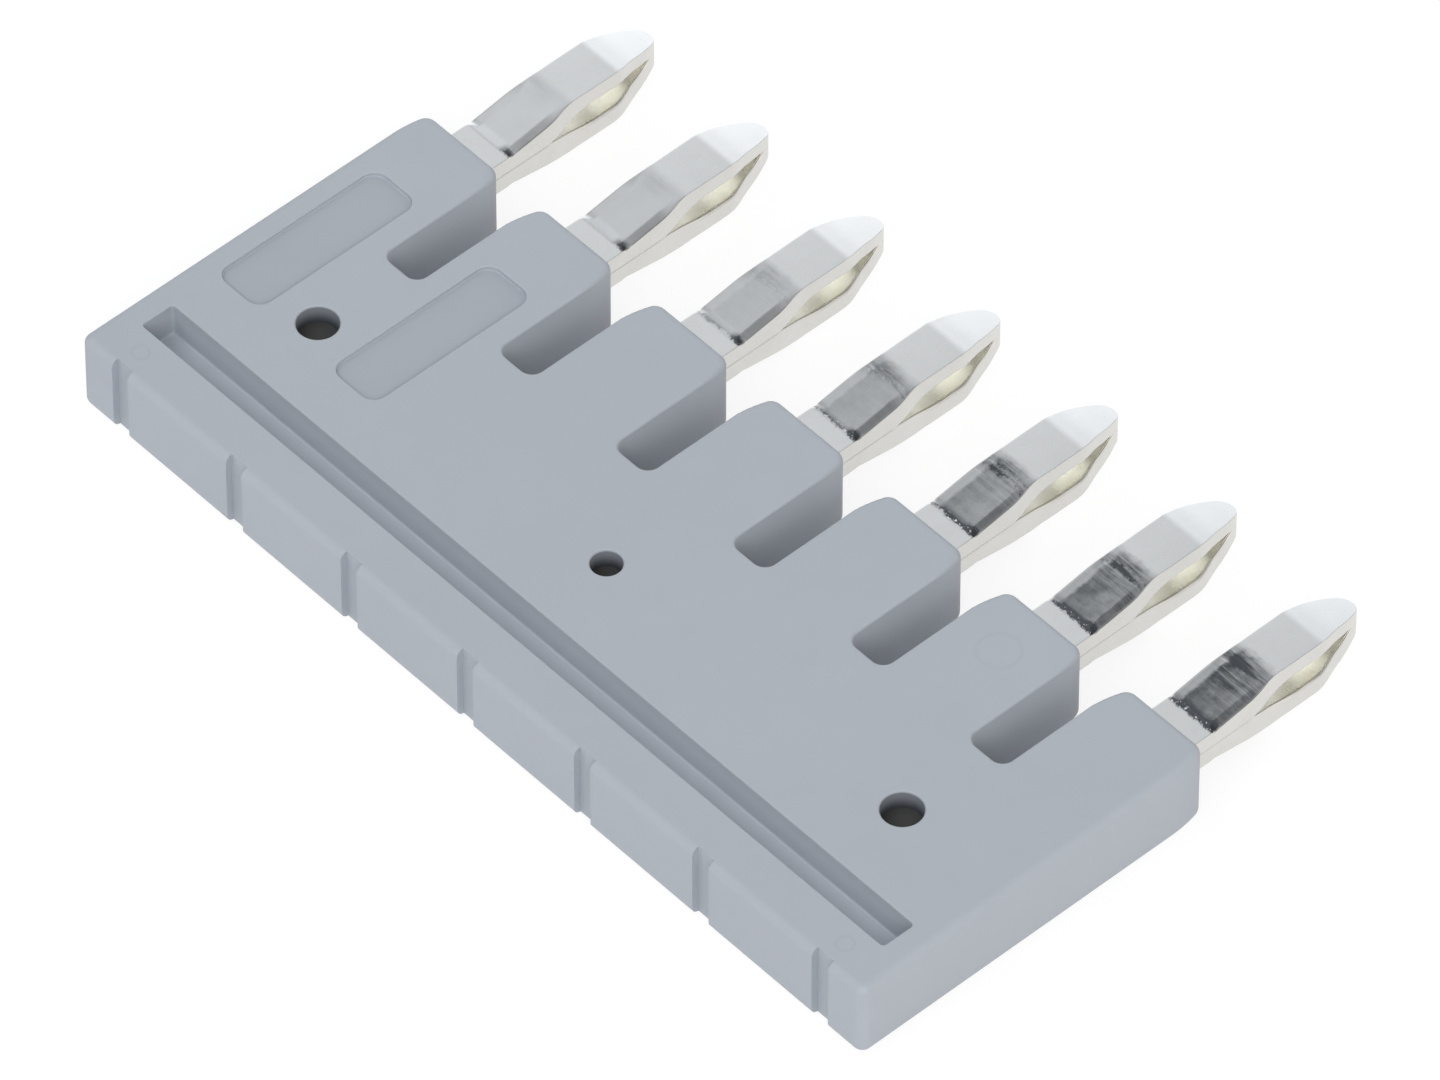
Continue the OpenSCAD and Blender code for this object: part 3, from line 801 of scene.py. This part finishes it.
def floor_material(s):
    """A white floor with a weak glow, white for the camera and for shiny metal; from below it vanishes."""
    wire, finish = new_material("studio_floor")
    plain = wire.make("ShaderNodeBsdfDiffuse", None, {"Color": s.floor})
    weak = wire.make("ShaderNodeEmission", None, {"Color": (1, 0.997, 0.99, 1), "Strength": 0.9})
    lit = wire.make("ShaderNodeMixShader", None, {0: 0.15, 1: plain, 2: weak})
    glow = wire.make("ShaderNodeEmission", None, {"Color": (1, 1, 1, 1), "Strength": 1.1})
    seen = wire.make("ShaderNodeMixShader", None, {0: 0.75, 1: plain, 2: glow})
    camera = wire.make("ShaderNodeLightPath", out="Is Camera Ray")
    shiny = Wire(wire.tree, camera.socket.node.outputs["Is Glossy Ray"])
    both = wire.make("ShaderNodeMixShader", None, {0: camera.most(shiny), 1: lit, 2: seen})
    under = wire.make("ShaderNodeNewGeometry", out="Backfacing")
    clear = wire.make("ShaderNodeBsdfTransparent")
    return finish(wire.make("ShaderNodeMixShader", None, {0: under, 1: both, 2: clear}))


def toward(azimuth, elevation):
    """The unit vector for an angle round the part, from the back face on, and a height, in radians."""
    flat = math.cos(elevation)
    return math.sin(azimuth) * flat, -math.cos(azimuth) * flat, math.sin(elevation)


def sky_shader(wire, s):
    """The studio light: an even level, walls (1 - rise) ** 4 and lobes level * max(0, way . axis) ** tight.

    A lobe's axis is given by its turn round the part from the camera's side and by its height, in degrees.
    """
    lobes = ((0, 40, s.key, 12, (1, 1, 1)), (-90, 58, s.left, 12, (0.96, 1, 1.05)),
             (90, 25, s.right, 10, (1.03, 1, 0.96)), (180, 15, s.backdrop, 12, (0.98, 1, 1.03)),
             (180, 48, s.overhead, 14, (0.99, 1, 1.01)))
    way = wire.make("ShaderNodeTexCoord", out="Generated")
    rise = wire.make("ShaderNodeSeparateXYZ", None, {0: way}, 2)
    low = (1 - rise.most(0.0)) ** 4.0 * s.horizon + s.even
    light = wire.make("ShaderNodeBackground", None, {"Color": (0.99, 1, 1, 1), "Strength": low})
    for turn, height, strength, tight, tint in lobes:
        axis = toward(s.azimuth + math.radians(turn), math.radians(height))
        near = wire.make("ShaderNodeVectorMath", {"operation": "DOT_PRODUCT"}, {0: way, 1: axis}, "Value")
        bright = near.most(0.0) ** tight * strength
        lobe = wire.make("ShaderNodeBackground", None, {"Color": (*tint, 1), "Strength": bright})
        light = wire.make("ShaderNodeAddShader", None, {0: light, 1: lobe})
    return light


def studio_world(s):
    """A world that lights the part with the studio light and is white for the camera."""
    world = bpy.data.worlds.new("studio_sky")
    world.use_nodes = True
    world.node_tree.nodes.clear()
    wire = Wire(world.node_tree)
    camera = wire.make("ShaderNodeLightPath", out="Is Camera Ray")
    white = wire.make("ShaderNodeBackground", None, {"Color": (1, 1, 1, 1), "Strength": 1.05})
    seen = wire.make("ShaderNodeMixShader", None, {0: camera, 1: sky_shader(wire, s), 2: white})
    wire.make("ShaderNodeOutputWorld", None, {"Surface": seen}, None)
    return world


def studio_camera(s):
    """A level camera at its place, turned to its azimuth and elevation."""
    right = np.array([math.cos(s.azimuth), math.sin(s.azimuth), 0.0])
    back = np.array(toward(s.azimuth, s.elevation))
    turn = Matrix(np.stack([right, np.cross(back, right), back], 1).tolist()).to_4x4()
    turn.translation = s.camera
    camera = bpy.data.objects.new("studio_camera", bpy.data.cameras.new("studio_camera"))
    camera.data.lens = s.lens
    camera.data.sensor_width = 36.0
    camera.data.clip_start, camera.data.clip_end = 0.01, 20.0
    camera.matrix_world = turn
    return camera


# Operators

def declare(piece, node, material):
    """Gives a piece its material and its place in the frame."""
    piece.data.materials.append(material)
    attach(piece, "root")
    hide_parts(node)
    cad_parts[node].data.materials.clear()
    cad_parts[node].data.materials.append(material)


class JUMPER_OT_housing(bpy.types.Operator):
    """Build the moulded bar with its teeth, groove, notches, panels and pin holes"""

    bl_idname = "jumper.housing"
    bl_label = "Housing"

    def execute(self, context):
        scene = context.scene
        bar = sizes(scene.jumper_housing)
        verts, faces, depth = housing_mesh(bar)
        piece = new_piece("housing_moulding", verts, faces, sharp=35, **depth)
        declare(piece, "housing", plastic_material(scene.jumper_finish, bar))
        return {"FINISHED"}


class JUMPER_OT_combs(bpy.types.Operator):
    """Build the two stamped combs with their bulged prong leaves"""

    bl_idname = "jumper.combs"
    bl_label = "Spring combs"

    def execute(self, context):
        scene = context.scene
        s, bar = sizes(scene.jumper_comb), sizes(scene.jumper_housing)
        material = metal_material(scene.jumper_finish, s, bar)
        for upper, node in ((True, "upper_comb"), (False, "lower_comb")):
            verts, faces, share = comb_mesh(s, bar, upper)
            piece = new_piece(node + "_sheet", verts, faces, sharp=40, outward=share)
            declare(piece, node, material)
        return {"FINISHED"}


class JUMPER_OT_stage(bpy.types.Operator):
    """Set up the white floor, the soft light and the camera"""

    bl_idname = "jumper.stage"
    bl_label = "Studio"

    def execute(self, context):
        scene = context.scene
        s = scene.jumper_stage
        half, drop = 4000.0, 0.01
        corners = [[-half, -half, -drop], [half, -half, -drop], [half, half, -drop], [-half, half, -drop]]
        floor = new_piece("studio_floor", corners, [[0, 1, 2, 3]])
        floor.data.materials.append(floor_material(s))
        scene.world = studio_world(s)
        camera = studio_camera(s)
        scene.collection.objects.link(camera)
        scene.camera = camera
        scene.view_settings.view_transform = "Standard"
        return {"FINISHED"}


class JUMPER_PT_panel(bpy.types.Panel):
    """Sidebar panel of the jumper"""

    bl_idname = "JUMPER_PT_panel"
    bl_label = "Terminal Jumper"
    bl_space_type = "VIEW_3D"
    bl_region_type = "UI"
    bl_category = "Jumper"

    def draw(self, context):
        scene = context.scene
        for label, settings, operator in (("Housing", scene.jumper_housing, "jumper.housing"),
                                          ("Combs", scene.jumper_comb, "jumper.combs"),
                                          ("Finishes", scene.jumper_finish, None),
                                          ("Studio", scene.jumper_stage, "jumper.stage")):
            box = self.layout.box()
            box.label(text=label)
            for name in settings.__annotations__:
                box.prop(settings, name)
            if operator:
                box.operator(operator)


GROUPS = {"jumper_housing": JumperHousingSettings, "jumper_comb": JumperCombSettings,
          "jumper_finish": JumperFinishSettings, "jumper_stage": JumperStageSettings}
CLASSES = (*GROUPS.values(), JUMPER_OT_housing, JUMPER_OT_combs, JUMPER_OT_stage, JUMPER_PT_panel)


def register():
    """Registers the classes and hangs the settings on the scene."""
    for cls in CLASSES:
        bpy.utils.register_class(cls)
    for name, group in GROUPS.items():
        setattr(bpy.types.Scene, name, bpy.props.PointerProperty(type=group))


def unregister():
    """Undoes register."""
    for name in GROUPS:
        delattr(bpy.types.Scene, name)
    for cls in reversed(CLASSES):
        bpy.utils.unregister_class(cls)


def main():
    """Registers the add-on and builds all pieces and the studio."""
    register()
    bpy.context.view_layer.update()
    bpy.ops.jumper.housing()
    bpy.ops.jumper.combs()
    bpy.ops.jumper.stage()


if __name__ == "__main__":
    main()
